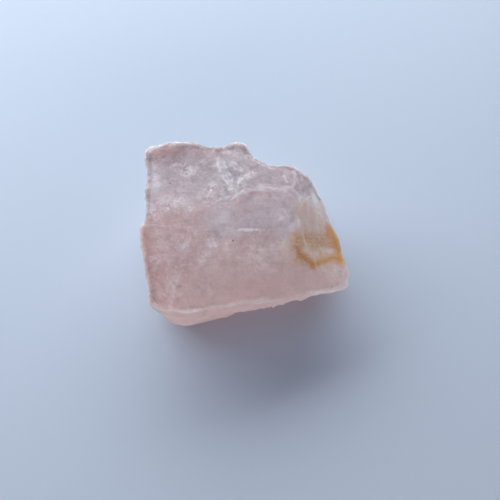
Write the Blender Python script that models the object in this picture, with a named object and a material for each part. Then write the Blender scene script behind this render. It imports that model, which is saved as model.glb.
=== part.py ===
"""A rough chunk of rose quartz, broken on every side and lying on its one flat break.

The stone is made as it came about. First its block: a lid of broad breaks over a rim, and walls that
run down from the rim to the flat underside. Then the shell-shaped hollows where flakes came off. Then
the relief of a quartz break: waves, scallops with sharp ribs between them, and stepped ridges.

The frame: the origin is under the middle of the stone, on the surface that it lies on. X runs along
the stone, with the rusty face at +X, Y runs from the front to the back, and Z is up.
"""

import math

import bmesh
import bpy
import numpy as np
from mathutils import Vector, noise
from mathutils.geometry import delaunay_2d_cdt

MM = 0.001

# Driving dimensions, in millimetres
LENGTH = 44.2  # along X
DEPTH = 38.0  # along Y
HEIGHT = 21.5
GRAIN = 0.5  # side of the cells that the stone is carved in
TRIANGLES = 8800  # left in the finished stone
BASE_LIFT = 0.35  # what stands below this height is cut off, which leaves the underside flat

STONE = "rose_quartz_chunk"
ROSE = (0.72, 0.53, 0.55, 1.0)
ROUGHNESS = 0.35

# The relief of the breaks, in millimetres. A run is the distance from one form to the next. Where a
# height has two values, the first is on the walls and the second on the smoother lid.
WAVE_RUN = 11.0
WAVE_HEIGHT = 0.55
SCALLOP_RUN = 6.5
SCALLOP_HEIGHT = (0.95, 0.25)
CHIP_RUN = 2.6
CHIP_HEIGHT = (0.42, 0.16)
STEP_RUN = 4.7
STEP_HEIGHT = (0.36, 0.16)
STEP_WAY = Vector((0.35, 0.85, -0.6))  # the direction in which the steps climb
STEP_DROP = 0.12  # share of a step's run in which it drops
FINE_STEP_RUN = 1.9
FINE_STEP_HEIGHT = 0.13
RIB_RUN = 1.7  # the ribs are on the rusty face
RIB_HEIGHT = 0.3
RIB_WAY = Vector((1.0, 0.25, 0.0))
MEAN_HEIGHT = 0.55  # taken off again, so that the broad breaks keep their place
PATCH_RUN = 7.0  # chips and fine steps come in patches
BEND = 1.6  # how far the forms are bent out of line
BEND_RUN = 9.0
SEED = 7  # of the noise that bends the forms
SEED_STEP = Vector((37.0, 11.0, 53.0))  # moves each noise away from the others

# Where a fade starts and ends. A slope is a part of the surface's normal.
LID_SLOPE = (0.75, 0.95)
UNDERSIDE_SLOPE = (0.6, 0.9)
UNDERSIDE_EVEN = 0.8  # share of the relief that is missing there
RUST_SLOPE = (0.2, 0.4)
RUST_X = (8.0, 11.0)
RUST_Y = (-8.0, -6.0)
PATCHES = (-0.25, 0.35)
STEP_PATCHES = (-0.15, 0.35)

# The rim, in millimetres, clockwise from the back left corner as seen from above: where the lid of
# the stone ends and its walls begin.
RIM = [
    (-21.1, 16.0, 18.9),
    (-17.6, 17.3, 19.2),
    (-10.9, 17.8, 19.1),
    (-7.4, 16.9, 18.9),
    (-4.0, 16.8, 18.7),
    (0.2, 17.9, 17.8),
    (0.9, 15.7, 17.6),
    (4.9, 13.3, 17.3),
    (10.6, 14.1, 16.6),
    (13.2, 12.1, 15.4),
    (16.2, 6.8, 13.4),
    (18.7, 1.4, 11.8),
    (21.1, -2.7, 10.8),
    (21.7, -5.8, 10.4),
    (22.6, -8.6, 10.4),
    (22.2, -12.0, 11.2),
    (11.2, -14.6, 15.0),
    (1.1, -16.3, 16.8),
    (-6.5, -17.5, 16.8),
    (-15.3, -17.7, 15.8),
    (-17.8, -16.8, 14.2),
    (-19.7, -15.2, 13.8),
    (-20.5, -9.8, 15.2),
    (-21.6, -3.2, 16.2),
    (-22.0, -0.6, 16.6),
    (-20.5, 2.4, 17.6),
    (-20.8, 7.3, 18.4),
]

# The crests on the lid. Each is a line of places, and neighbouring breaks meet along it.
LONG_CREST = [(-14.0, 2.2, 19.5), (-10.9, 2.6, 20.3), (-3.9, 4.2, 21.2), (3.5, 7.1, 21.0)]
SHELL_CREST = [(3.5, 7.1, 21.0), (9.8, 7.5, 19.8), (11.9, 5.2, 19.1), (10.6, -0.3, 18.8)]
RUST_CREST = [(10.6, -0.3, 18.8), (8.9, -3.9, 18.6), (9.1, -6.7, 18.0)]
RUST_SILL = [(9.1, -6.7, 18.0), (14.3, -7.8, 15.4), (20.2, -6.6, 11.8)]
SWELL = [(-12.0, -8.0, 18.8), (-3.0, -7.0, 20.0), (4.5, -10.0, 18.8)]

# The walls: the belly is their widest line, and the foot is where they reach the underside.
BELLY = [
    (-19.8, 15.6, 10.4),
    (-8.0, 19.4, 8.6),
    (-0.8, 18.8, 7.0),
    (5.2, 15.2, 6.5),
    (13.0, 12.0, 7.0),
    (18.4, 3.4, 5.4),
    (21.3, -7.4, 6.6),
    (13.8, -13.0, 7.2),
    (-1.0, -16.3, 6.4),
    (-12.6, -18.7, 3.4),
    (-16.4, -18.1, 4.6),
    (-19.8, -13.0, 4.6),
    (-21.3, -4.6, 8.6),
    (-20.0, 5.6, 5.0),
]
FOOT = [
    (-15.0, 14.0),
    (-5.0, 17.0),
    (4.6, 12.6),
    (12.4, 8.0),
    (16.0, -1.0),
    (12.4, -8.0),
    (1.0, -11.6),
    (-10.4, -17.6),
    (-15.0, -16.6),
    (-17.8, -6.0),
    (-17.4, 4.0),
]

# Hollows left by flakes: place of the flake's middle, its radii, and its turn about Z in degrees.
FLAKES = [
    ((-33.0, 9.0, 3.0), (15.0, 13.0, 11.0), 16),
    ((-8.0, 24.4, 5.6), (10.0, 7.0, 7.4), -10),
    ((9.5, 21.5, 3.0), (8.0, 8.0, 7.0), 28),
    ((23.5, 8.5, 9.0), (6.0, 9.0, 6.5), 20),
    ((24.5, -4.0, 0.5), (8.0, 9.0, 5.0), -12),
    ((9.5, -17.6, 3.4), (11.0, 7.0, 6.0), 14),
    ((-5.5, -22.8, 9.0), (8.5, 6.0, 5.0), 6),
    ((-33.0, -12.0, 6.0), (14.4, 13.0, 11.0), -18),
    ((7.0, 12.5, 25.5), (7.5, 8.5, 7.2), -24),
    ((-13.0, 12.0, 34.2), (12.0, 11.0, 15.3), 10),
]


def clear_scene():
    for old in list(bpy.data.objects):
        bpy.data.objects.remove(old)


def loop_of(bm, places):
    """Adds the places, in millimetres, as a closed ring of edges."""
    ring = [bm.verts.new(Vector(place) * MM) for place in places]
    edges = [bm.edges.new((a, b)) for a, b in zip(ring, ring[1:] + ring[:1])]
    return ring, edges


def add_lid(bm, rim):
    """Fills the rim with breaks that meet along the crests."""
    places = [tuple(vert.co / MM) for vert in rim]
    edges = [(i, (i + 1) % len(rim)) for i in range(len(rim))]
    for crest in (LONG_CREST, SHELL_CREST, RUST_CREST, RUST_SILL, SWELL):
        start = len(places)
        places += crest
        edges += [(start + i, start + i + 1) for i in range(len(crest) - 1)]
    flat = [Vector(place[:2]) for place in places]
    faces_within_outline = 1
    same_place = 1e-4
    points, _, faces, origin, _, _ = delaunay_2d_cdt(
        flat, edges, [], faces_within_outline, same_place
    )
    verts = []
    for point, sources in zip(points, origin):
        source = sources[0]
        if source < len(rim):
            verts.append(rim[source])
        else:
            verts.append(bm.verts.new(Vector((point.x, point.y, places[source][2])) * MM))
    for face in faces:
        bm.faces.new([verts[i] for i in face])


def block_of_stone():
    """The stone's block, a closed mesh of broad flat breaks."""
    bm = bmesh.new()
    rim, rim_edges = loop_of(bm, RIM)
    _, belly_edges = loop_of(bm, BELLY)
    foot, foot_edges = loop_of(bm, [(x, y, 0.0) for x, y in FOOT])
    bmesh.ops.bridge_loops(bm, edges=rim_edges + belly_edges)
    bmesh.ops.bridge_loops(bm, edges=belly_edges + foot_edges)
    bm.faces.new(foot)
    add_lid(bm, rim)
    bmesh.ops.triangulate(bm, faces=bm.faces)
    bmesh.ops.recalc_face_normals(bm, faces=bm.faces)
    mesh = bpy.data.meshes.new(STONE)
    bm.to_mesh(mesh)
    bm.free()
    stone = bpy.data.objects.new(STONE, mesh)
    bpy.context.scene.collection.objects.link(stone)
    return stone


def flake_cutter(index, place, radii, turn):
    """An ellipsoid that takes one flake's hollow out of the stone."""
    bm = bmesh.new()
    bmesh.ops.create_icosphere(bm, subdivisions=4, radius=1.0)
    mesh = bpy.data.meshes.new(f"flake_{index}")
    bm.to_mesh(mesh)
    bm.free()
    cutter = bpy.data.objects.new(mesh.name, mesh)
    cutter.location = Vector(place) * MM
    cutter.scale = Vector(radii) * MM
    cutter.rotation_euler.z = math.radians(turn)
    cutter.hide_render = True
    cutter.display_type = "WIRE"
    bpy.context.scene.collection.objects.link(cutter)
    return cutter


def break_off_flakes(stone):
    for index, flake in enumerate(FLAKES):
        cut = stone.modifiers.new(f"flake_{index}", "BOOLEAN")
        cut.operation = "DIFFERENCE"
        cut.solver = "EXACT"
        cut.object = flake_cutter(index, *flake)
    cells = stone.modifiers.new("cells", "REMESH")
    cells.mode = "VOXEL"
    cells.voxel_size = GRAIN * MM


def bake_modifiers(obj):
    """Makes what the modifiers show into the object's own mesh."""
    bpy.context.view_layer.update()
    graph = bpy.context.evaluated_depsgraph_get()
    shown = bpy.data.meshes.new_from_object(obj.evaluated_get(graph))
    obj.modifiers.clear()
    obj.data = shown


def steps(value):
    """Rises slowly from 0 to 1 and drops back at once, like a flight of worn steps."""
    share = value - math.floor(value)
    if share < 1 - STEP_DROP:
        return share / (1 - STEP_DROP)
    return (1 - share) / STEP_DROP


def fade(value, limits):
    """0 below the first limit, 1 above the second, and smooth between."""
    low, high = limits
    share = min(max((value - low) / (high - low), 0.0), 1.0)
    return share * share * (3 - 2 * share)


def mixed(heights, share):
    first, second = heights
    return first + (second - first) * share


def nearest_centre(place):
    """Distance to the nearest of the scattered points that the shell-shaped scars centre on."""
    distances, _ = noise.voronoi(place)
    return distances[0]


def rust_share(place, normal):
    """1 on the rusty face, 0 elsewhere."""
    return fade(place.x, RUST_X) * fade(normal.x, RUST_SLOPE) * fade(place.y, RUST_Y)


def flights(place, bent):
    """The stepped ridges: broad steps that come and go, and fine ones in patches."""
    climb = bent.dot(STEP_WAY)
    broad_bend = 0.9 * noise.noise(place / 6.0)
    fine_bend = 1.3 * noise.noise(place / 3.5 + SEED_STEP)
    come_and_go = fade(noise.noise(place / 5.0 + 2 * SEED_STEP), STEP_PATCHES)
    broad = steps(climb / STEP_RUN + broad_bend) * come_and_go
    fine = steps(climb / FINE_STEP_RUN + fine_bend)
    return broad, fine


def relief(place, normal):
    """How far the break stands out of its broad plane at a place."""
    bent = place + BEND * noise.noise_vector(place / BEND_RUN)
    on_lid = fade(normal.z, LID_SLOPE)
    rusty = rust_share(place, normal)
    patchy = fade(noise.noise(place / PATCH_RUN - SEED_STEP), PATCHES)
    waves = WAVE_HEIGHT * noise.noise(place / WAVE_RUN + SEED_STEP)
    scallops = mixed(SCALLOP_HEIGHT, on_lid) * nearest_centre(bent / SCALLOP_RUN) ** 2
    chips = mixed(CHIP_HEIGHT, on_lid) * nearest_centre(bent / CHIP_RUN + SEED_STEP) ** 2 * patchy
    broad, fine = flights(place, bent)
    stepped = mixed(STEP_HEIGHT, on_lid) * broad + FINE_STEP_HEIGHT * fine * patchy
    rib_bend = 0.5 * noise.noise(place / 4.0)
    ribs = RIB_HEIGHT * steps(place.dot(RIB_WAY) / RIB_RUN + rib_bend)
    height = waves + scallops + chips + mixed((stepped, ribs), rusty) - MEAN_HEIGHT
    return height * (1 - UNDERSIDE_EVEN * fade(-normal.z, UNDERSIDE_SLOPE))


def roughen(stone):
    """Moves each point of the stone along its normal by the relief there."""
    noise.seed_set(SEED)
    mesh = stone.data
    for vert, normal in zip(mesh.vertices, [v.normal.copy() for v in mesh.vertices]):
        vert.co += normal * relief(vert.co / MM, normal) * MM
    mesh.update()


def level_base(stone):
    """Makes the break that the stone lies on one level face."""
    bm = bmesh.new()
    bm.from_mesh(stone.data)
    everything = bm.verts[:] + bm.edges[:] + bm.faces[:]
    cut = bmesh.ops.bisect_plane(
        bm,
        geom=everything,
        plane_co=(0, 0, BASE_LIFT * MM),
        plane_no=(0, 0, -1),
        clear_outer=True,
    )
    rim = [part for part in cut["geom_cut"] if isinstance(part, bmesh.types.BMEdge)]
    bmesh.ops.holes_fill(bm, edges=rim, sides=0)
    bmesh.ops.recalc_face_normals(bm, faces=bm.faces)
    if bm.calc_volume(signed=True) < 0:
        bmesh.ops.reverse_faces(bm, faces=bm.faces)
    bm.to_mesh(stone.data)
    bm.free()


def centre(stone):
    """Puts the middle of the stone's box over the origin, at its full length, depth and height."""
    places = np.array([vert.co for vert in stone.data.vertices])
    low, high = places.min(axis=0), places.max(axis=0)
    middle = (low + high) / 2
    middle[2] = low[2]
    wanted = np.array([LENGTH, DEPTH, HEIGHT]) * MM
    places = (places - middle) * wanted / (high - low)
    stone.data.vertices.foreach_set("co", places.ravel())
    stone.data.update()


def thin_out(stone):
    """Leaves more and smaller faces at sharp ribs than on even ground."""
    thin = stone.modifiers.new("thin", "DECIMATE")
    thin.ratio = TRIANGLES / (2 * len(stone.data.polygons))
    thin.use_collapse_triangulate = True


def rose_quartz():
    material = bpy.data.materials.new("rose_quartz")
    material.use_nodes = True
    shader = material.node_tree.nodes["Principled BSDF"]
    shader.inputs["Base Color"].default_value = ROSE
    shader.inputs["Roughness"].default_value = ROUGHNESS
    shader.inputs["Metallic"].default_value = 0.0
    return material


def build():
    clear_scene()
    stone = block_of_stone()
    break_off_flakes(stone)
    bake_modifiers(stone)
    roughen(stone)
    thin_out(stone)
    bake_modifiers(stone)
    level_base(stone)
    centre(stone)
    stone.data.materials.append(rose_quartz())


build()
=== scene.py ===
# %% [markdown]
# # A rough chunk of rose quartz
#
# Rose quartz seldom grows in crystals. It fills a vein as one solid mass, and a chunk of it shows no
# crystal faces, only the breaks that parted it from that mass. Three things make it look like itself:
# the shapes of those breaks, the light that wanders through the milky inside before it comes out
# again, and what has got into it since, such as healed cracks, white veils and rust.
#
# The solid model of the chunk is loaded first. It has the outline, the broad breaks and the larger
# scars, at a size that is a likely guess. Everything below is fitted to it and stays inside its box.

# %% The solid model and the tools of this lesson
import math

import bmesh
import bpy
import numpy as np
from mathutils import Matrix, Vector
from mathutils.bvhtree import BVHTree


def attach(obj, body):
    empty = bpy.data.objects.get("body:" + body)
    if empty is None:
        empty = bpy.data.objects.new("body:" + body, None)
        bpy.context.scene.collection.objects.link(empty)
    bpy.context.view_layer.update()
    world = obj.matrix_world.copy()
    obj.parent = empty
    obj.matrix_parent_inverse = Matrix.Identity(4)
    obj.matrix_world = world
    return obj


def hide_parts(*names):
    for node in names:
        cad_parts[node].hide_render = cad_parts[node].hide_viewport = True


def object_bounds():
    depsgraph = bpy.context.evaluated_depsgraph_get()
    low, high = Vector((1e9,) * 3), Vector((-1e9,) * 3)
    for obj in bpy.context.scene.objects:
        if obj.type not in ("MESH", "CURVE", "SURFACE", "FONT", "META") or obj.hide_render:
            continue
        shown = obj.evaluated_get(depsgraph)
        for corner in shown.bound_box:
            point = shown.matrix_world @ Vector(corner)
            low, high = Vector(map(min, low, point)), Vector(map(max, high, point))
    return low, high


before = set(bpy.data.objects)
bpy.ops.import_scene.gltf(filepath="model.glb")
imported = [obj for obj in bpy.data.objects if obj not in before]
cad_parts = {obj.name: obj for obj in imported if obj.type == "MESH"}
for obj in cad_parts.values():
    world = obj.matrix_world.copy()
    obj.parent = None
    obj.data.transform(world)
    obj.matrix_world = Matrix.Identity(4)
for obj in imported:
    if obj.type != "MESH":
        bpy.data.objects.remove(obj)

MM = 0.001
STONE = "rose_quartz_chunk"
SOLID_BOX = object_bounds()
print("solid:", " x ".join(f"{side / MM:.1f}" for side in SOLID_BOX[1] - SOLID_BOX[0]), "mm")

# %% [markdown]
# ## The camera
#
# The chunk lies on paper and is seen steeply from above, a little from its front. A camera is placed
# by what it looks at: a point inside the chunk, a distance, and an angle above the paper. A lens of
# normal length from this near shows the front wall as a narrow strip below the lid.

# %% Camera
LENS = 50.0
SENSOR = 36.0
NEAREST_SEEN = 5 * MM
CAMERA_HEIGHT_ANGLE = math.radians(75.0)
CAMERA_DISTANCE = 149.4 * MM
CAMERA_AIM = Vector((0.73, -3.45, 10.0)) * MM


def turned_to(direction):
    """The rotation of a camera or a lamp that looks along a direction."""
    return direction.to_track_quat("-Z", "Y").to_euler()


def add_camera():
    back = Vector((0.0, -math.cos(CAMERA_HEIGHT_ANGLE), math.sin(CAMERA_HEIGHT_ANGLE)))
    camera = bpy.data.objects.new("camera", bpy.data.cameras.new("camera"))
    camera.data.lens = LENS
    camera.data.sensor_width = SENSOR
    camera.data.clip_start = NEAREST_SEEN
    camera.location = CAMERA_AIM + back * CAMERA_DISTANCE
    camera.rotation_euler = turned_to(-back)
    bpy.context.scene.collection.objects.link(camera)
    bpy.context.scene.camera = camera
    return camera


print("camera stands", round(add_camera().location.z / MM), "mm above the paper")

# %% [markdown]
# ## Helpers for node trees
#
# Shapes and finishes below are both made by nodes. A node is added, its options are set, and each of
# its inputs gets either a plain value or a wire from another node. One helper does all three, and the
# short ones after it cover the sums that turn up most.

# %% Node helpers
def add(tree, kind, inputs=None, **options):
    """Adds a node. Each input is given a value, or a wire where the value is a socket."""
    node = tree.nodes.new(kind)
    for name, value in options.items():
        setattr(node, name, value)
    for name, value in (inputs or {}).items():
        if isinstance(value, bpy.types.NodeSocket):
            tree.links.new(value, node.inputs[name])
        else:
            node.inputs[name].default_value = value
    return node


def sum_of(tree, operation, *values):
    """The result of a Math node."""
    return add(tree, "ShaderNodeMath", dict(enumerate(values)), operation=operation).outputs[0]


def times(tree, *values):
    product = values[0]
    for value in values[1:]:
        product = sum_of(tree, "MULTIPLY", product, value)
    return product


def centred(tree, value):
    """A value from 0 to 1 moved down, so that its middle is 0."""
    return sum_of(tree, "SUBTRACT", value, 0.5)


def at_least(tree, value, least):
    """A value from 0 to 1 squeezed into the range from the least to 1."""
    return sum_of(tree, "MULTIPLY_ADD", value, 1.0 - least, least)


def vector_of(tree, operation, *values, scale=None):
    """The result of a Vector Math node that gives a vector."""
    inputs = dict(enumerate(values))
    if scale is not None:
        inputs["Scale"] = scale
    return add(tree, "ShaderNodeVectorMath", inputs, operation=operation).outputs[0]


def dot(tree, one, other):
    return add(
        tree, "ShaderNodeVectorMath", {0: one, 1: other}, operation="DOT_PRODUCT"
    ).outputs["Value"]


def between(tree, value, low, high):
    """0 where the value is low, 1 where it is high, and smooth between."""
    inputs = {"Value": value, "From Min": low, "From Max": high}
    return add(
        tree, "ShaderNodeMapRange", inputs, interpolation_type="SMOOTHSTEP"
    ).outputs["Result"]


def noise(tree, place, run, detail=2.0, rough=0.5):
    """A soft noise from 0 to 1 whose patches are about run across."""
    inputs = {"Vector": place, "Scale": 1.0 / run, "Detail": detail, "Roughness": rough}
    return add(tree, "ShaderNodeTexNoise", inputs)


# %% [markdown]
# ## The fine break
#
# The solid carries the forms that are a millimetre or more across, in flat triangles. Two things are
# missing: the triangles have to melt into each other without the ribs and rims going soft, and
# between the broad forms the real surface is broken again and again. Both follow a rule over the
# whole surface, so Geometry Nodes do them on a mesh of small even cells.
#
# The break is made of four patterns, each with sizes of its own that are inputs of the tree:
#
# - **Shells** are the squared distance to the nearest of many scattered points.
# - **Splinters** are cells that each have a tilt of their own, so they meet in small ledges.
# - **Steps** rise slowly along one direction and drop back at once.
# - **Rings** are ripples round the middle of each shell, as on broken glass.

# %% Sizes of the fine break
BREAK_SIZES = {
    "Shell Run": 3.1,
    "Shell Depth": 0.34,
    "Splinter Run": 1.3,
    "Splinter Tilt": 0.30,
    "Step Run": 1.4,
    "Step Depth": 0.10,
    "Ring Run": 0.45,
    "Ring Depth": 0.034,
    "Lid Share": 0.25,
    "Level Below": 0.3,
}  # in millimetres, but for the tilt, which is a slope, and the share
PATCHES = {
    # pattern: how far apart its patches are, and the noise values between which one sets in
    "rings": (5.0, 0.50, 0.62),
    "splinters": (6.5, 0.44, 0.60),
    "steps": (3.6, 0.50, 0.66),
}


def break_sockets(tree):
    """The tree's inputs and output, each size under a name of its own."""
    tree.interface.new_socket("Geometry", in_out="INPUT", socket_type="NodeSocketGeometry")
    for name, size in BREAK_SIZES.items():
        socket = tree.interface.new_socket(name, in_out="INPUT", socket_type="NodeSocketFloat")
        socket.default_value = size
    tree.interface.new_socket("Finish", in_out="INPUT", socket_type="NodeSocketMaterial")
    tree.interface.new_socket("Geometry", in_out="OUTPUT", socket_type="NodeSocketGeometry")


print("fine break:", len(BREAK_SIZES), "sizes, shells", BREAK_SIZES["Shell Run"], "mm apart")

# %% [markdown]
# ### Melting the triangles
#
# The tree blurs the places of the points. Where the blurred surface stays near the sharp one the
# ground is even, and the blurred place is taken. Where the two lie apart, measured along the normal,
# there is a rib or a rim, and the sharp place stays.

# %% Blurring that keeps the ribs
WIDE_BLUR = 50  # rounds of blur that melt the triangles
EVEN_GROUND = (0.06, 0.18)  # between these gaps, in millimetres, even ground turns into a rib


def blurred(tree, value, rounds):
    blur = add(tree, "GeometryNodeBlurAttribute", {"Iterations": rounds}, data_type="FLOAT_VECTOR")
    tree.links.new(value, next(s for s in blur.inputs if s.name == "Value" and s.enabled))
    return next(s for s in blur.outputs if s.enabled)


def standing_out(tree, rounds):
    """How far a point stands out of its neighbourhood, in millimetres."""
    place = add(tree, "GeometryNodeInputPosition").outputs[0]
    normal = add(tree, "GeometryNodeInputNormal").outputs[0]
    out = dot(tree, vector_of(tree, "SUBTRACT", place, blurred(tree, place, rounds)), normal)
    return sum_of(tree, "DIVIDE", out, MM)


def melted(tree, mesh):
    """The mesh with its even ground blurred and its ribs and rims as they were."""
    place = add(tree, "GeometryNodeInputPosition").outputs[0]
    normal = add(tree, "GeometryNodeInputNormal").outputs[0]
    soft = vector_of(tree, "SUBTRACT", blurred(tree, place, WIDE_BLUR), place)
    gap = sum_of(tree, "ABSOLUTE", sum_of(tree, "DIVIDE", dot(tree, soft, normal), MM))
    sharp = between(tree, gap, *EVEN_GROUND)
    shift = vector_of(tree, "SCALE", soft, scale=sum_of(tree, "SUBTRACT", 1.0, sharp))
    inputs = {"Geometry": mesh, "Offset": shift}
    return add(tree, "GeometryNodeSetPosition", inputs).outputs[0]


print("triangles melt where the blurred surface is within", EVEN_GROUND[0], "mm")

# %% [markdown]
# ### The patterns
#
# Each pattern is a height that follows from a place on the stone. Rings, splinters and steps come in
# patches, as on a real break, where one kind of fracture gives way to another.

# %% Patterns of the break
STEP_WAY = (0.3, 0.8, -0.55)
STEP_DROP = 0.15  # share of a step's run in which it drops
STEP_BEND_RUN = 4.0
STEP_BEND = 2.5  # how many steps a line of steps bends out of its way


def patchy(tree, place, pattern):
    run, low, high = PATCHES[pattern]
    return between(tree, noise(tree, place, run).outputs[0], low, high)


def cells(tree, place, run):
    """Voronoi cells about run across. The run is a wire."""
    scale = sum_of(tree, "DIVIDE", 1.0, run)
    return add(tree, "ShaderNodeTexVoronoi", {"Vector": place, "Scale": scale})


def shells_and_rings(tree, place, size):
    shell = cells(tree, place, size["Shell Run"]).outputs["Distance"]
    bowl = times(tree, shell, shell, size["Shell Depth"])
    rings_across = sum_of(tree, "DIVIDE", size["Shell Run"], size["Ring Run"])
    ring = sum_of(tree, "SINE", times(tree, shell, rings_across, 2 * math.pi))
    ring = times(tree, ring, size["Ring Depth"], patchy(tree, place, "rings"))
    return sum_of(tree, "ADD", bowl, ring)


def splinters(tree, place, size):
    cell = cells(tree, place, size["Splinter Run"])
    offset = vector_of(tree, "SUBTRACT", place, cell.outputs["Position"])
    lean = vector_of(tree, "SUBTRACT", cell.outputs["Color"], (0.5, 0.5, 0.5))
    tilted = times(tree, dot(tree, offset, lean), size["Splinter Tilt"])
    return times(tree, tilted, patchy(tree, place, "splinters"))


def steps(tree, place, size):
    climb = sum_of(tree, "DIVIDE", dot(tree, place, STEP_WAY), size["Step Run"])
    bend = times(tree, noise(tree, place, STEP_BEND_RUN).outputs[0], STEP_BEND)
    share = sum_of(tree, "FRACT", sum_of(tree, "ADD", climb, bend))
    rise = sum_of(tree, "DIVIDE", share, 1.0 - STEP_DROP)
    drop = sum_of(tree, "DIVIDE", sum_of(tree, "SUBTRACT", 1.0, share), STEP_DROP)
    stair = times(tree, sum_of(tree, "MINIMUM", rise, drop), size["Step Depth"])
    return times(tree, stair, patchy(tree, place, "steps"))


print("steps climb along", STEP_WAY)

# %% [markdown]
# ### Carving and measuring
#
# Each point is moved along its normal by the sum of the patterns. A lid broken in one clean blow is
# smoother than the walls, so the patterns are stronger on steep ground, and they fade out near the
# paper, where the stone has to rest flat.
#
# Last, the tree stores two measures on the mesh for the finish: how far each point stands out of its
# neighbourhood, which tells a sharp rib from a hollow, and how much it faces the window.

# %% Tree of the fine break
BEND = 1.5  # how far the patterns are bent out of line, in millimetres
BEND_RUN = 4.5
MEAN_DEPTH = 0.135  # taken off again, so that the broad surface keeps its place
NEAR_BLUR = 10  # rounds of blur that take the small bumps out of the normals
RIB_BLUR = 3  # rounds of blur that a rib is measured against
LID_TO_WALL = (0.85, 0.45)  # the normal's upward share on a lid and on a wall
BASE_FADE = 1.0  # millimetres in which the patterns reach their depth above the level base
WINDOW_WAY = (-0.30, 0.82, 0.48)  # the way to the window, behind the stone and to its left


def height_of(tree, direction):
    return add(tree, "ShaderNodeSeparateXYZ", {0: direction}).outputs["Z"]


def strength_of_break(tree, place, normal, size):
    """1 on the walls, the lid's share on the lid, and 0 at the base."""
    steep = between(tree, height_of(tree, blurred(tree, normal, NEAR_BLUR)), *LID_TO_WALL)
    free_share = sum_of(tree, "SUBTRACT", 1.0, size["Lid Share"])
    strength = sum_of(tree, "MULTIPLY_ADD", steep, free_share, size["Lid Share"])
    full_above = sum_of(tree, "ADD", size["Level Below"], BASE_FADE)
    return times(tree, strength, between(tree, height_of(tree, place), size["Level Below"], full_above))


def broken(tree, mesh, size):
    """The mesh with every point moved inwards by the depth of the break there."""
    place = vector_of(tree, "SCALE", add(tree, "GeometryNodeInputPosition").outputs[0], scale=1 / MM)
    normal = add(tree, "GeometryNodeInputNormal").outputs[0]
    sway = vector_of(tree, "SUBTRACT", noise(tree, place, BEND_RUN).outputs["Color"], (0.5, 0.5, 0.5))
    bent = vector_of(tree, "ADD", place, vector_of(tree, "SCALE", sway, scale=2 * BEND))
    depth = sum_of(tree, "ADD", shells_and_rings(tree, bent, size), steps(tree, bent, size))
    depth = sum_of(tree, "ADD", depth, splinters(tree, bent, size))
    depth = sum_of(tree, "SUBTRACT", depth, MEAN_DEPTH)
    inwards = times(tree, depth, strength_of_break(tree, place, normal, size), -MM)
    offset = vector_of(tree, "SCALE", normal, scale=inwards)
    return add(tree, "GeometryNodeSetPosition", {"Geometry": mesh, "Offset": offset}).outputs[0]


def remember(tree, geometry, name, value):
    """Stores a value for each point of the mesh under a name."""
    inputs = {"Geometry": geometry, "Name": name, "Value": value}
    return add(
        tree, "GeometryNodeStoreNamedAttribute", inputs, data_type="FLOAT", domain="POINT"
    ).outputs[0]


def break_tree():
    tree = bpy.data.node_groups.new("fine_break", "GeometryNodeTree")
    break_sockets(tree)
    size = add(tree, "NodeGroupInput").outputs
    mesh = melted(tree, size["Geometry"])
    mesh = broken(tree, mesh, size)
    mesh = remember(tree, mesh, "rib", standing_out(tree, RIB_BLUR))
    normal = add(tree, "GeometryNodeInputNormal").outputs[0]
    mesh = remember(tree, mesh, "facing", dot(tree, blurred(tree, normal, NEAR_BLUR), WINDOW_WAY))
    mesh = add(tree, "GeometryNodeSetShadeSmooth", {"Geometry": mesh}).outputs[0]
    mesh = add(tree, "GeometryNodeRealizeInstances", {"Geometry": mesh}).outputs[0]
    finish = {"Geometry": mesh, "Material": size["Finish"]}
    mesh = add(tree, "GeometryNodeSetMaterial", finish).outputs[0]
    add(tree, "NodeGroupOutput", {"Geometry": mesh})
    return tree


fine_break = break_tree()
print("fine break:", len(fine_break.nodes), "nodes")

# %% [markdown]
# ## The stone's mesh
#
# The solid's triangles are loose and of many sizes. Dividing them further would keep their uneven
# shapes, so a copy is merged into one skin and rebuilt as a grid of small even cells, and then the
# tree above works on it. The result is turned into a plain mesh and set back inside the solid's box,
# so that nothing stands further out than the solid does.

# %% Mesh of the stone
CELL = 0.25 * MM
SMOOTHING = 3
MERGE = 0.001 * MM


def merged_copy(source, name):
    bm = bmesh.new()
    bm.from_mesh(source)
    bmesh.ops.remove_doubles(bm, verts=bm.verts, dist=MERGE)
    mesh = bpy.data.meshes.new(name)
    bm.to_mesh(mesh)
    bm.free()
    piece = bpy.data.objects.new(name, mesh)
    bpy.context.scene.collection.objects.link(piece)
    return piece


def break_finely(piece, tree, finish):
    """Rebuilds the piece's mesh in small cells and carves the fine break into it."""
    grid = piece.modifiers.new("cells", "REMESH")
    grid.mode = "VOXEL"
    grid.voxel_size = CELL
    soften = piece.modifiers.new("soften", "SMOOTH")
    soften.iterations = SMOOTHING
    carve = piece.modifiers.new("break", "NODES")
    carve.node_group = tree
    carve[tree.interface.items_tree["Finish"].identifier] = finish
    bpy.context.view_layer.update()
    seen = piece.evaluated_get(bpy.context.evaluated_depsgraph_get())
    piece.data = bpy.data.meshes.new_from_object(seen)
    piece.modifiers.clear()


def keep_in_box(mesh, box):
    """Moves what stands out of the box back to its side."""
    places = np.empty(len(mesh.vertices) * 3)
    mesh.vertices.foreach_get("co", places)
    places = np.clip(places.reshape(-1, 3), np.array(box[0]), np.array(box[1]))
    mesh.vertices.foreach_set("co", places.ravel())
    mesh.update()
    return places


quartz = bpy.data.materials.new("rose_quartz")
stone = merged_copy(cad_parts[STONE].data, "rose_quartz")
break_finely(stone, fine_break, quartz)
places = keep_in_box(stone.data, SOLID_BOX)
print("stone:", len(places), "points,", len(stone.data.polygons), "faces")

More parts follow.
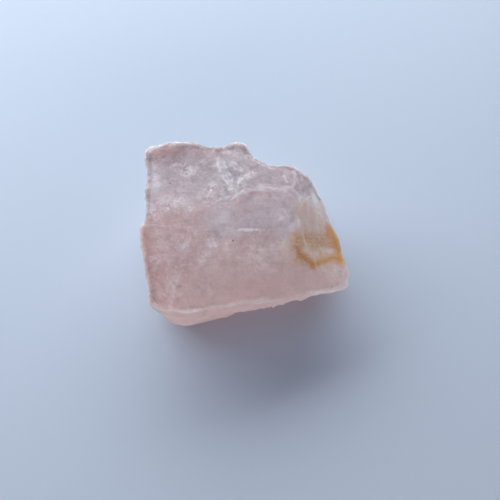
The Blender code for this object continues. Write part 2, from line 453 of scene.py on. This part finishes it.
# %% [markdown]
# ## Washes and marks
#
# What the finish shows in one place only is given as a line of a few places in the 500 x 500
# picture. Washes come first. They are broad and soft: a greyer back, a browner back rim, a milky
# corner, a warm glow near the front left corner, cream along the front wall. The thin dark ones lie
# along rims and ridges. The real rim is a little darker than the ground beside it. The lines here
# are darker than that, because they also hold back the light that the shader lets through where the
# stone is thin. Washes could be painted on the mesh point by point, but a line with a reach says the
# same in a few numbers.

# %% Lines of the washes, each a row of places in the picture
WASH_LINES = {
    # the back's wash is greyer and darker as painted shade, the front's is paler as painted light
    "rear": [[(156, 160), (185, 172), (215, 172), (246, 168)], [(246, 168), (275, 172), (300, 180)]],
    "front": [[(196, 296), (235, 288), (285, 282), (330, 274)]],
    # greyed and paled: greyer tone, and painted light that lifts the lid below the crest
    "greyed": [[(222, 220), (250, 212), (276, 214), (290, 224)]],
    "paled": [[(262, 196), (282, 195), (298, 202)], [(306, 214), (312, 224)]],
    "warmed": [[(148, 262), (150, 290), (165, 312)]],
    # creamy: cream tone on the front wall, paled further as painted light coming through the stone
    "creamy": [[(172, 318), (186, 322), (240, 310), (285, 301), (313, 292)]],
    "faced": [[(314, 198), (318, 212), (320, 230)]],
    "milky": [[(153, 168), (155, 186), (152, 201)], [(235, 155), (242, 155)], [(224, 172), (232, 184)]],
    # browned: a browner back rim, partly painted shade against the shader's light fringe
    "browned": [[(162, 147), (190, 146), (206, 150)], [(266, 174), (283, 176), (298, 183), (304, 189)]],
    "tanned": [[(285, 248), (291, 256)]],
    # painted shade on the brightly lit slopes by the V
    "shade_by_v": [[(222, 168), (232, 184), (242, 187)]],
    "shade": [[(224, 149), (236, 148), (244, 149)], [(228, 172), (229, 176)]],
    # ridge and crest: painted shade along the front ridge and the crest of the lid
    "ridge": [
        [(162, 313), (200, 311), (222, 309), (240, 306)],
        [(240, 306), (256, 301), (285, 297), (315, 292), (336, 286)],
    ],
    "crest": [
        [(212, 203), (222, 200), (234, 198), (244, 189)],
        [(244, 189), (256, 186), (276, 189), (291, 186), (295, 176), (296, 170)],
    ],
    # rim_line and edge: the rim's slightly darker tone, deepened as painted shade
    "rim_line": [
        [(154, 309), (150, 295), (149, 275), (146, 258), (144, 245), (145, 228), (148, 217)],
        [(149, 162), (152, 152), (165, 148), (190, 147), (200, 149)],
    ],
    "edge": [
        [(147, 213), (147, 198), (148.5, 186), (149.5, 174), (148, 162), (150, 150)],
        [(150, 150), (163, 145), (190, 144.5), (206, 147.5), (226, 148.5)],
        [(226, 148.5), (240, 145.5), (246, 148), (249, 155), (262, 162), (285, 167)],
        [(285, 167), (304, 172), (310, 183), (319, 199)],
    ],
}
print("washes:", len(WASH_LINES), "kinds")

# %% [markdown]
# The white marks are veils and veins that meet in a V, hairline cracks along the crest, frost where
# the surface is bruised, a painted highlight where a crack turns its flat side to the light, and
# small painted glints. Two dark grains of another mineral and a faint smudge lie on the lid.

# %% Lines of the white and the dark marks
MARK_LINES = {
    "veil": [
        [(218, 162), (223, 171), (230, 182), (236, 190)],
        [(250, 174), (242, 179), (236, 188)],
        [(232, 163), (240, 169)],
        [(234, 155.5), (243, 155.5)],
        [(273, 246), (281, 244), (288, 240)],
        [(153, 166), (155, 184)],
    ],
    "vein": [
        [(217, 161), (219, 168), (223, 177), (228, 184)],
        [(223, 161), (227, 168), (231, 176), (234, 184)],
        [(231, 163), (236, 163), (241, 169), (237, 170), (231, 163)],
        [(252, 172), (246, 175), (240, 180), (233, 188), (229, 190)],
        [(231, 200), (236, 196), (242, 191), (250, 188)],
        [(246, 153), (254, 160), (263, 165), (274, 169)],
        [(170, 166), (178, 164), (186, 165), (192, 169), (190, 174), (185, 173)],
        [(284, 176), (287, 182)],
        [(296, 176), (298, 183)],
    ],
    "crack": [
        [(212, 203), (217, 201), (222, 198), (229, 197)],
        [(213, 188), (209, 193), (207, 199)],
        [(220, 198), (222, 193)],
        [(218, 207), (230, 207)],
        [(280, 257), (283, 260), (286, 263)],
        [(255, 264), (258, 267), (261, 270)],
        [(142, 225), (155, 225), (170, 226)],
        [(222, 233), (231, 231.5), (240, 230)],
        [(256, 229.5), (266, 230.5)],
        [(176, 267), (184, 265), (192, 264)],
        [(334, 271), (338, 268), (343, 271), (344, 277), (340, 281), (335, 279)],
    ],
    "shell_edge": [[(240, 194), (251, 188), (262, 184.5), (275, 184.5), (287, 186), (295, 191), (299, 197)]],
    # a painted highlight where a crack turns its flat side to the light
    "crack_highlight": [[(239, 229.5), (248, 229), (257, 229.5)], [(245, 230.5), (252, 230.5)]],
    "frost": [
        [(161, 203), (166, 202)],
        [(168, 209)],
        [(173, 207), (180, 202)],
        [(150, 213), (156, 210), (158, 216)],
        [(150, 206)],
        [(187, 172), (191, 168)],
        [(188, 166)],
        [(211, 188)],
        [(283, 216)],
        [(189, 211)],
        [(155, 259)],
        [(204, 258)],
        [(183, 244)],
        [(212, 244)],
    ],
    # small painted highlights, as glints
    "painted_glint": [[(280, 219), (282, 217)], [(285, 212)], [(309, 220)], [(305, 228)], [(168, 209)]],
    "grain": [[(233.0, 240.5)], [(170.0, 183.5)]],
    "smudge": [[(173, 283), (176, 284)], [(178, 286), (180, 286.5)]],
}
print("white and dark marks:", len(MARK_LINES), "kinds")

# %% [markdown]
# Water left rust on the ribbed face at the right. Its field is crossed by level lines, and the line
# where the last water stood bounds it below. Above it the rust ran down in drips between white
# stripes, and its middle stayed pale.

# %% Lines of the rust
RUST_LINES = {
    "stripe": [
        [(308, 200), (309, 216)],
        [(313, 196), (317, 212), (319, 230)],
        [(318, 200), (323, 218), (325, 230)],
        [(310, 190), (320, 204)],
    ],
    "rust": [[(297, 248), (300, 255), (308, 261), (314, 265), (322, 262), (333, 258), (342, 260)]],
    "rust_edge": [[(330, 231), (335, 241), (339, 251), (341, 259)]],
    "rust_level": [
        [(294, 234), (312, 235), (329, 235)],
        [(292, 239), (302, 238), (314, 239), (332, 239)],
        [(296, 242.5), (310, 242), (330, 243)],
        [(300, 246), (312, 246), (334, 247)],
    ],
    "rust_field": [
        [(297, 240), (315, 243), (334, 246)],
        [(334, 236), (340, 256)],
        [(303, 256), (322, 258)],
        [(306, 249), (332, 252)],
    ],
    "rust_wash": [[(302, 206), (304, 222), (303, 234)], [(312, 216), (314, 234)], [(322, 226), (326, 236)]],
    "drip": [
        [(313, 236), (312, 222)],
        [(321, 238), (319, 226)],
        [(328, 238), (326, 228)],
        [(306, 236), (305, 226)],
    ],
    "pale": [[(305, 250), (316, 253)], [(323, 250), (331, 251)]],
}
print("rust:", len(RUST_LINES), "kinds")

# %% [markdown]
# ### From the picture to the stone
#
# A ray from the camera through a place in the picture finds the spot on the stone, and from there on
# the mark belongs to the stone and not to the picture. For every point of the mesh the distance to
# the nearest line of each kind is stored. The finish turns a distance into a mark of any width, soft
# or sharp, so a mark stays clean however near the camera comes.

# %% Distances to the lines, stored on the mesh
PICTURE = 500
LINES = {**WASH_LINES, **MARK_LINES, **RUST_LINES}


def seen_through(picture_place, skin):
    """The spot on the stone, in millimetres, that the camera sees at a place in the picture."""
    camera = bpy.context.scene.camera
    across, down = (value / PICTURE - 0.5 for value in picture_place)
    ray = Vector((across * SENSOR, -down * SENSOR, -LENS))
    spot = skin.ray_cast(camera.location, camera.rotation_euler.to_matrix() @ ray)[0]
    return None if spot is None else np.array(spot) / MM


def distance_to(lines, points):
    """The distance from each point to the nearest of the lines."""
    nearest = np.full(len(points), np.inf)
    for line in lines:
        for start, end in zip(line, line[1:] + line[-1:]):
            along = end - start
            share = np.clip((points - start) @ along / max(along @ along, 1e-9), 0, 1)
            gap = np.linalg.norm(points - start - share[:, None] * along, axis=1)
            nearest = np.minimum(nearest, gap)
    return nearest


def add_marks(piece, points):
    corners = [vertex.co for vertex in piece.data.vertices]
    skin = BVHTree.FromPolygons(corners, [face.vertices for face in piece.data.polygons])
    for kind, lines in LINES.items():
        spots = [[seen_through(place, skin) for place in line] for line in lines]
        spots = [[spot for spot in line if spot is not None] for line in spots]
        gaps = distance_to([line for line in spots if line], points)
        store = piece.data.attributes.new(kind, "FLOAT", "POINT")
        store.data.foreach_set("value", gaps.astype(np.float32))
        print("mark", kind, "on", sum(len(line) for line in spots), "spots")


add_marks(stone, places / MM)

# %% [markdown]
# ## The finish of the quartz
#
# Milky quartz is lit from within. Light enters, is scattered by countless tiny bubbles and fibres,
# and leaves some millimetres away, which softens every shadow and makes thin edges glow. Blender's
# Principled shader does this with its subsurface inputs. The colour is built up in layers, as the
# stone's own is: a pale rose ground with soft washes, clouds and threads, then whitened ribs, frost,
# veils and cracks, and rust on top.

# %% Colours of the finish
ROSE = (0.68, 0.495, 0.475, 1.0)
# a greyer back that is also darker as painted shade, and a front that is paler as painted light
REAR_GREY_AND_PAINTED_SHADE = (0.53, 0.43, 0.445, 1.0)
FRONT_PAINTED_LIGHT = (0.74, 0.55, 0.51, 1.0)
# a greyer tone that is also paler, as painted light on the lid below the crest
GREY_AND_PAINTED_LIGHT = (0.72, 0.63, 0.65, 1.0)
WARM = (0.64, 0.42, 0.395, 1.0)
# cream of the front wall, paled further as painted light that comes through the stone
CREAM_AND_PAINTED_LIGHT = (0.83, 0.67, 0.60, 1.0)
FACE = (0.88, 0.83, 0.74, 1.0)
MILK = (0.57, 0.52, 0.52, 1.0)
BROWN = (0.42, 0.35, 0.365, 1.0)
# painted shade on the brightly lit slopes by the V
PAINTED_SHADE_BY_V = (0.46, 0.375, 0.39, 1.0)
# painted shade along the front ridge and the lid's crest, against the shader's bright fringe there
RIDGE_SHADE = (0.48, 0.385, 0.37, 1.0)
# the rims' own darker tone, deepened as painted shade against the shader's light fringe
EDGE_DARK_AND_SHADE = (0.24, 0.22, 0.23, 1.0)
DEEP = (0.80, 0.74, 0.76, 1.0)
# the rim's own darker tone, deepened as painted shade against the shader's light fringe
RIM_TONE_AND_SHADE = (0.82, 0.79, 0.78, 1.0)
# painted shade on what faces the window, painted light on what faces away from it
PAINTED_SHADE_TOWARDS_WINDOW = (0.72, 0.66, 0.66, 1.0)
PAINTED_LIGHT_AWAY_FROM_WINDOW = (0.95, 0.81, 0.77, 1.0)
WHITE = (0.95, 0.89, 0.90, 1.0)
RUST = (0.70, 0.31, 0.09, 1.0)
OCHRE = (0.74, 0.47, 0.27, 1.0)
CRUST = (0.46, 0.27, 0.11, 1.0)
TAN = (0.81, 0.65, 0.52, 1.0)
SMUDGE = (0.50, 0.34, 0.31, 1.0)
DARK = (0.16, 0.10, 0.12, 1.0)
print("pale rose ground:", ROSE[:3])

# %% [markdown]
# ### Layers, specks and marks
#
# Three helpers make all the layers. One lays a colour over another. One turns a noise into specks.
# One turns a stored distance into a mark, whose edge wanders as a hand-drawn one does, and which a
# second noise may break into pieces.

# %% Helpers of the finish
MARK_WANDER_RUN = 0.9
MARK_GAP_RUN = 1.1
MARK_GAP_SOFTNESS = 0.08


def layer(tree, under, over, share, blend="MIX"):
    """Lays one colour over another where the share is 1."""
    mix = add(tree, "ShaderNodeMix", {"Factor": share}, data_type="RGBA", blend_type=blend)
    for name, colour in (("A", under), ("B", over)):
        socket = next(s for s in mix.inputs if s.name == name and s.type == "RGBA")
        if isinstance(colour, bpy.types.NodeSocket):
            tree.links.new(colour, socket)
        else:
            socket.default_value = colour
    return next(s for s in mix.outputs if s.type == "RGBA")


def stored(tree, name):
    return add(tree, "ShaderNodeAttribute", attribute_name=name).outputs["Fac"]


def specks(tree, place, run, low, high, detail=3.0, rough=0.6):
    """Patches of a noise, 1 inside and 0 outside, soft where low and high lie apart."""
    return between(tree, noise(tree, place, run, detail, rough).outputs[0], low, high)


def mark(tree, place, name, width, ragged, gaps_below=0.0):
    """1 on the lines of a mark and 0 away from them, with a ragged edge and, if asked, gaps."""
    wander = centred(tree, noise(tree, place, MARK_WANDER_RUN, 3.0).outputs[0])
    gap = sum_of(tree, "MULTIPLY_ADD", wander, 2 * ragged, stored(tree, name))
    on_line = between(tree, gap, width, 0.0)
    if not gaps_below:
        return on_line
    low, high = gaps_below - MARK_GAP_SOFTNESS, gaps_below + MARK_GAP_SOFTNESS
    return times(tree, on_line, specks(tree, place, MARK_GAP_RUN, low, high))


print("marks: edges wander over", MARK_WANDER_RUN, "mm, gaps over", MARK_GAP_RUN, "mm")

# %% [markdown]
# ### The ground
#
# The ground is a pale rose which is greyer towards the back, paler along the front and warm at the
# left corner. The back is also darker as painted shade, and the paler front is painted light: both
# offset the low window behind. Over it lie soft clouds, small light and dark mottles, and level
# threads. Last come the traces of healed cracks. Such a crack is a thin bent sheet inside the stone,
# so it meets the surface in a fine line: where a slow noise passes through its middle value.
#
# Real quartz passes light on over longer ways than the shader does, so its walls and its lid differ
# less in brightness. The last step makes up for that with the stored measure, by painting light and
# shade into the colour: painted shade makes the ground up to a third darker where it faces the
# window, and painted light makes it paler where it faces away. This fits the light of this lesson,
# and it stays on the stone in any other light.

# %% Values of the ground
WASHES = (
    # name, fully there up to, gone from, colour, strength
    ("rear", 2.5, 11.0, REAR_GREY_AND_PAINTED_SHADE, 1.0),
    ("front", 1.0, 7.5, FRONT_PAINTED_LIGHT, 1.0),
    ("greyed", 1.0, 5.5, GREY_AND_PAINTED_LIGHT, 1.0),
    ("paled", 0.6, 3.2, GREY_AND_PAINTED_LIGHT, 0.5),
    ("warmed", 0.5, 6.5, WARM, 0.9),
    ("creamy", 1.2, 4.0, CREAM_AND_PAINTED_LIGHT, 0.9),
    ("faced", 0.3, 2.0, FACE, 0.8),
    ("milky", 0.5, 3.2, MILK, 0.5),
    ("browned", 0.4, 2.6, BROWN, 0.25),
    ("tanned", 0.4, 2.4, TAN, 0.7),
    ("shade_by_v", 1.0, 4.5, PAINTED_SHADE_BY_V, 0.7),
    ("shade", 0.1, 1.2, EDGE_DARK_AND_SHADE, 0.35),
    ("ridge", 0.3, 1.8, RIDGE_SHADE, 0.5),
    ("crest", 0.2, 0.75, RIDGE_SHADE, 0.5),
    ("edge", 0.35, 1.05, EDGE_DARK_AND_SHADE, 0.65),
)
RIM_REACH = (0.3, 2.8)  # fully dark up to, and no darker from, this far from the rim line
WASH_WANDER = 0.6  # how far a wash's edge wanders, as a share of its width
WASH_WANDER_RUN = 3.0
THREAD_STRETCH = (0.14, 1.0, 1.0)
EVEN = (1.0, 1.0, 1.0)
GROUND_SPECKS = (
    # colour, strength, run, noise values between which a patch sets in, stretch
    (DEEP, 0.55, 7.0, 0.48, 0.70, EVEN),
    (WHITE, 0.14, 5.5, 0.50, 0.72, EVEN),
    (DEEP, 0.50, 1.6, 0.48, 0.68, EVEN),
    (WHITE, 0.20, 2.1, 0.50, 0.68, EVEN),
    (DEEP, 0.30, 0.9, 0.50, 0.66, EVEN),
    (WHITE, 0.14, 0.7, 0.52, 0.66, EVEN),
    (WHITE, 0.12, 1.0, 0.54, 0.66, THREAD_STRETCH),
)
SHEET_RUN = 5.0  # how far a healed crack runs before it bends
CRACK_HALF = 0.016  # half width of a healed crack's trace, in the noise's own measure
CRACK_PATCHES = (2.6, 0.50, 0.62)
CRACK_STRENGTH = 0.35
# facing measures that set the painted shade towards the window and the painted light away from it
FACING_WINDOW = (0.50, 0.85)  # facing measures between which the ground darkens
FACING_AWAY = (0.42, 0.05)  # facing measures between which it turns paler
PAINTED_LIGHT_STRENGTH = 0.5
print("ground:", len(WASHES), "washes,", len(GROUND_SPECKS), "kinds of specks")


# %% Ground of the finish
def wash(tree, name, full, gone, wander):
    """1 on the lines of a wash, fading out over its reach, with a cloudy edge."""
    gap = sum_of(tree, "MULTIPLY_ADD", wander, WASH_WANDER * gone, stored(tree, name))
    return between(tree, gap, gone, full)


def healed_cracks(tree, place):
    sheet = noise(tree, place, SHEET_RUN, 2.0, 0.4).outputs[0]
    trace = between(tree, sum_of(tree, "ABSOLUTE", centred(tree, sheet)), CRACK_HALF, 0.0)
    return times(tree, trace, specks(tree, place, *CRACK_PATCHES))


def painted_light_and_shade(tree, colour):
    """The colour with painted shade where it faces the window and painted light where it faces away."""
    facing = stored(tree, "facing")
    colour = layer(tree, colour, PAINTED_SHADE_TOWARDS_WINDOW, between(tree, facing, *FACING_WINDOW), "MULTIPLY")
    painted_light_share = times(tree, between(tree, facing, *FACING_AWAY), PAINTED_LIGHT_STRENGTH)
    return layer(tree, colour, PAINTED_LIGHT_AWAY_FROM_WINDOW, painted_light_share)


def quartz_ground(tree, place):
    """The rose ground with its washes, clouds, mottles, threads and healed cracks."""
    colour = ROSE
    wander = centred(tree, noise(tree, place, WASH_WANDER_RUN, 3.0).outputs[0])
    for name, full, gone, tint, strength in WASHES:
        share = times(tree, wash(tree, name, full, gone, wander), strength)
        colour = layer(tree, colour, tint, share)
    for tint, strength, run, low, high, stretch in GROUND_SPECKS:
        where = place if stretch is EVEN else vector_of(tree, "MULTIPLY", place, stretch)
        share = times(tree, specks(tree, where, run, low, high), strength)
        colour = layer(tree, colour, tint, share, "MULTIPLY" if tint is DEEP else "MIX")
    colour = layer(tree, colour, WHITE, times(tree, healed_cracks(tree, place), CRACK_STRENGTH))
    rim = wash(tree, "rim_line", *RIM_REACH, wander)
    return painted_light_and_shade(tree, layer(tree, colour, RIM_TONE_AND_SHADE, rim, "MULTIPLY"))


# %% [markdown]
# ### Frost, veils and cracks
#
# Where the stone is bruised it is full of tiny open cracks that throw all light back, so it looks
# white. The frost has its own places and shows up here and there elsewhere, and ribs that stand out
# are a little whiter, because they are what gets rubbed. Each crack could be cut into the mesh, but
# most are about as fine as the mesh's cells. So a table lays the same white along every line, with a
# width, a strength and gaps of its own.

# %% White marks
FROST_REACH = (2.0, 0.6)  # gone from, and fully there up to, this far from its places
FROST_ELSEWHERE = (4.0, 0.60, 0.75)
FROST_ELSEWHERE_STRENGTH = 0.5
FROST_HAZE = (1.1, 0.36, 0.66)
FROST_GRAINS = (0.36, 0.54, 0.64)
FROST_STRENGTH = 0.75
RIB_HEIGHT = (0.006, 0.05)  # between these heights, in millimetres, a rib gets rubbed
RUBBED_PATCHES = (1.8, 0.50, 0.65)
RUBBED_STRENGTH = 0.05
WHITE_MARKS = (
    # name, half width, raggedness, noise value below which it has gaps, strength
    ("veil", 1.9, 1.1, 0.0, 0.12),
    ("veil", 1.5, 1.3, 0.46, 0.24),
    ("vein", 0.45, 0.40, 0.44, 0.34),
    ("shell_edge", 0.45, 0.2, 0.42, 0.10),
    ("crack", 0.32, 0.15, 0.44, 0.38),
    # painted highlights: small glints, and a crack turned to the light
    ("painted_glint", 0.55, 0.25, 0.0, 0.75),
    ("crack_highlight", 0.36, 0.12, 0.34, 0.95),
)


def frosted(tree, place):
    """Up to 1 on the frost: a soft white haze with harder grains in it."""
    near = between(tree, stored(tree, "frost"), *FROST_REACH)
    elsewhere = times(tree, specks(tree, place, *FROST_ELSEWHERE), FROST_ELSEWHERE_STRENGTH)
    where = sum_of(tree, "MAXIMUM", near, elsewhere)
    haze = specks(tree, place, *FROST_HAZE)
    grains = specks(tree, place, *FROST_GRAINS)
    return times(tree, where, sum_of(tree, "MULTIPLY_ADD", grains, 0.5, times(tree, haze, 0.5)))


def whitened(tree, place, colour, frost):
    """The colour with rubbed ribs, frost, veils, veins, cracks, painted glints and the painted highlight of
    a crack laid on it.
    """
    ribs = between(tree, stored(tree, "rib"), *RIB_HEIGHT)
    rubbed = times(tree, ribs, specks(tree, place, *RUBBED_PATCHES))
    colour = layer(tree, colour, WHITE, times(tree, rubbed, RUBBED_STRENGTH))
    colour = layer(tree, colour, WHITE, times(tree, frost, FROST_STRENGTH))
    for name, width, ragged, gaps_below, strength in WHITE_MARKS:
        share = times(tree, mark(tree, place, name, width, ragged, gaps_below), strength)
        colour = layer(tree, colour, WHITE, share)
    return colour


print("white marks:", len(WHITE_MARKS), "layers")

# %% [markdown]
# ### Rust and grains
#
# The rust is laid on from pale to dark: a tan wash, an ochre field in fine level stripes and mottles,
# level lines, a hard orange line where the last water stood, and a dark crust in grains. Then come
# what is pale in it and the dark grains of the lid. A picture of such a stain would blur near the
# camera, so it is built from marks and noises, which stay sharp.

# %% Rust and dark grains
LEVEL_STRETCH = (0.12, 1.0, 1.0)
STRIPES = (0.7, 0.40, 0.60)
BLOTS = (0.9, 0.38, 0.62)
MOTTLES = (0.5, 0.44, 0.62)
GRIT = (0.4, 0.54, 0.64)
CRUST_IN_FIELD = 0.6  # how much of the crust's strength the field has
THINNEST_LINE = 0.40  # what the rust line keeps between its blots
THINNEST_EDGE = 0.55


def rusted(tree, place, colour):
    """The colour with the rust, which lies in fine level stripes, and the dark grains."""
    level = vector_of(tree, "MULTIPLY", place, LEVEL_STRETCH)
    blots = specks(tree, place, *BLOTS)
    field = mark(tree, place, "rust_field", 3.2, 1.3)
    soft_line = mark(tree, place, "rust", 1.8, 1.3)
    hard_line = times(tree, mark(tree, place, "rust", 1.05, 1.0), at_least(tree, blots, THINNEST_LINE))
    edge = times(tree, mark(tree, place, "rust_edge", 2.5, 1.3), at_least(tree, blots, THINNEST_EDGE))
    crust = sum_of(tree, "MAXIMUM", times(tree, field, CRUST_IN_FIELD), soft_line)
    for tint, share, strength in (
        (TAN, mark(tree, place, "rust_wash", 2.6, 1.2), 0.55),
        (TAN, field, 0.85),
        (OCHRE, times(tree, field, specks(tree, level, *STRIPES)), 0.55),
        (OCHRE, times(tree, field, specks(tree, place, *MOTTLES)), 0.42),
        (OCHRE, soft_line, 0.55),
        (OCHRE, mark(tree, place, "drip", 0.9, 0.7, 0.44), 0.40),
        (OCHRE, mark(tree, level, "rust_level", 0.60, 0.35, 0.40), 0.42),
        (RUST, mark(tree, level, "rust_level", 0.36, 0.30, 0.46), 0.38),
        (RUST, hard_line, 0.90),
        (RUST, edge, 0.90),
        (CRUST, times(tree, crust, specks(tree, place, *GRIT)), 0.45),
        (WHITE, mark(tree, place, "pale", 1.1, 1.2), 0.28),
        (WHITE, mark(tree, place, "stripe", 0.75, 0.4, 0.42), 0.30),
        (SMUDGE, mark(tree, place, "smudge", 0.60, 0.40), 0.65),
        (DARK, mark(tree, place, "grain", 0.34, 0.05), 0.9),
    ):
        colour = layer(tree, colour, tint, times(tree, share, strength))
    return colour, soft_line


print("rust: stripes", round(1 / LEVEL_STRETCH[0]), "times as long as high")

# %% [markdown]
# ### The shader
#
# The surface is dull rather than glossy, except on the frost, whose small faces glint. The bump is
# the sugary grain that is too fine for the mesh, on slow waves. A clear surface round a cloudy volume
# would be nearer to the real thing, but it takes far longer to render, so the shader's own scattering
# stands in for it.

# %% Shader of the quartz
QUARTZ_IOR = 1.544
GLOW_DEPTH = 7.0 * MM  # how far red light wanders inside
GLOW_SHARES = (1.0, 0.85, 0.80)  # how far red, green and blue go of that
SHEEN = 0.35  # the broken surface sends back less light than a polished one, for which it is 0.5
DULL = 0.46  # roughness of the smoothest ground
DULLER = 0.30  # what the waxy patches and the rust add to it
GLINT = -0.25  # what the frost takes off
WAXY_RUN = 1.6
GRAIN_DEPTH = 0.12 * MM
GRAIN_RUN = 0.5
WAVE_RUN = 1.9
WAVE_HEIGHT = 1.8  # height of the waves, as a share of the grain's


def roughness_of(tree, place, frost, rust):
    waxy = noise(tree, place, WAXY_RUN, 3.0).outputs[0]
    rough = sum_of(tree, "MULTIPLY_ADD", waxy, DULLER, DULL)
    rough = sum_of(tree, "MULTIPLY_ADD", frost, GLINT, rough)
    return sum_of(tree, "MULTIPLY_ADD", rust, DULLER, rough)


def sugary_bump(tree, place):
    grain = noise(tree, place, GRAIN_RUN, 4.0, 0.65).outputs[0]
    waves = noise(tree, place, WAVE_RUN, 3.0, 0.6).outputs[0]
    height = sum_of(tree, "MULTIPLY_ADD", waves, WAVE_HEIGHT, grain)
    bump = add(tree, "ShaderNodeBump", {"Height": height, "Strength": 1.0, "Distance": GRAIN_DEPTH})
    return bump.outputs[0]


def finish_quartz(material):
    material.use_nodes = True
    tree = material.node_tree
    shader = tree.nodes["Principled BSDF"]
    place = add(tree, "ShaderNodeTexCoord").outputs["Object"]
    place = vector_of(tree, "SCALE", place, scale=1 / MM)
    frost = frosted(tree, place)
    colour = whitened(tree, place, quartz_ground(tree, place), frost)
    colour, rust = rusted(tree, place, colour)
    tree.links.new(colour, shader.inputs["Base Color"])
    tree.links.new(roughness_of(tree, place, frost, rust), shader.inputs["Roughness"])
    tree.links.new(sugary_bump(tree, place), shader.inputs["Normal"])
    shader.inputs["IOR"].default_value = QUARTZ_IOR
    shader.inputs["Specular IOR Level"].default_value = SHEEN
    shader.inputs["Subsurface Weight"].default_value = 1.0
    shader.inputs["Subsurface Radius"].default_value = GLOW_SHARES
    shader.inputs["Subsurface Scale"].default_value = GLOW_DEPTH
    print("finish:", len(tree.nodes), "nodes")


finish_quartz(quartz)

# %% [markdown]
# ## Paper and light
#
# The chunk lies on plain pale paper. Three lamps are enough, as in a small studio. A wide low softbox
# behind the stone and to its left stands for a window: it throws the soft shadow that opens like a
# fan, and as it is low, every rise of the lid shows. A low card in front is a little pink, like light
# that comes back from the room, and keeps the near wall and the shadow from going dark. A small lamp
# far above and the faint light of the room itself take the edge off the rest.

# %% Paper and light
PAPER = (0.62, 0.69, 0.79, 1.0)
PAPER_ROUGHNESS = 0.85
PAPER_HALF = 0.6
PAPER_GAP = 0.02 * MM
LAMPS = {
    # name: degrees to the left of straight back, degrees above the paper, distance, sides, power, colour
    "softbox": (21, 29, 0.34, (0.8, 0.2), 2.65, (0.90, 0.95, 1.0)),
    "card": (195, 20, 0.70, (1.4, 0.28), 2.7, (1.0, 0.72, 0.69)),
    "overhead": (0, 78, 0.50, (0.25, 0.25), 0.25, (0.4, 0.7, 1.0)),
}
ROOM_COLOUR = (0.55, 0.76, 1.0, 1.0)
ROOM_LIGHT = 0.10


def add_paper():
    bm = bmesh.new()
    bmesh.ops.create_grid(bm, x_segments=1, y_segments=1, size=PAPER_HALF)
    mesh = bpy.data.meshes.new("paper")
    bm.to_mesh(mesh)
    bm.free()
    paper = bpy.data.objects.new("paper", mesh)
    paper.location.z = -PAPER_GAP
    bpy.context.scene.collection.objects.link(paper)
    material = bpy.data.materials.new("paper")
    material.use_nodes = True
    shader = material.node_tree.nodes["Principled BSDF"]
    shader.inputs["Base Color"].default_value = PAPER
    shader.inputs["Roughness"].default_value = PAPER_ROUGHNESS
    mesh.materials.append(material)


def add_lamp(name, left, above, distance, sides, power, colour):
    """A flat rectangular lamp on a dome round the stone, which it faces."""
    left, above = math.radians(left), math.radians(above)
    way = Vector((-math.sin(left) * math.cos(above), math.cos(left) * math.cos(above), math.sin(above)))
    lamp = bpy.data.objects.new(name, bpy.data.lights.new(name, "AREA"))
    lamp.data.shape = "RECTANGLE"
    lamp.data.size, lamp.data.size_y = sides
    lamp.data.energy = power
    lamp.data.color = colour
    lamp.location = way * distance
    lamp.rotation_euler = turned_to(-way)
    bpy.context.scene.collection.objects.link(lamp)


def light_room():
    """Fills the room with a faint light from all sides."""
    room = bpy.data.worlds.new("room")
    room.use_nodes = True
    background = room.node_tree.nodes["Background"]
    background.inputs["Color"].default_value = ROOM_COLOUR
    background.inputs["Strength"].default_value = ROOM_LIGHT
    bpy.context.scene.world = room
    bpy.context.scene.view_settings.view_transform = "Standard"


add_paper()
for lamp_name, lamp_values in LAMPS.items():
    add_lamp(lamp_name, *lamp_values)
light_room()
print("light:", ", ".join(LAMPS), "and the room")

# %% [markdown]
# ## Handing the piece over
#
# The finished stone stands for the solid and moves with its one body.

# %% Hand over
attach(stone, "root")
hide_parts(STONE)
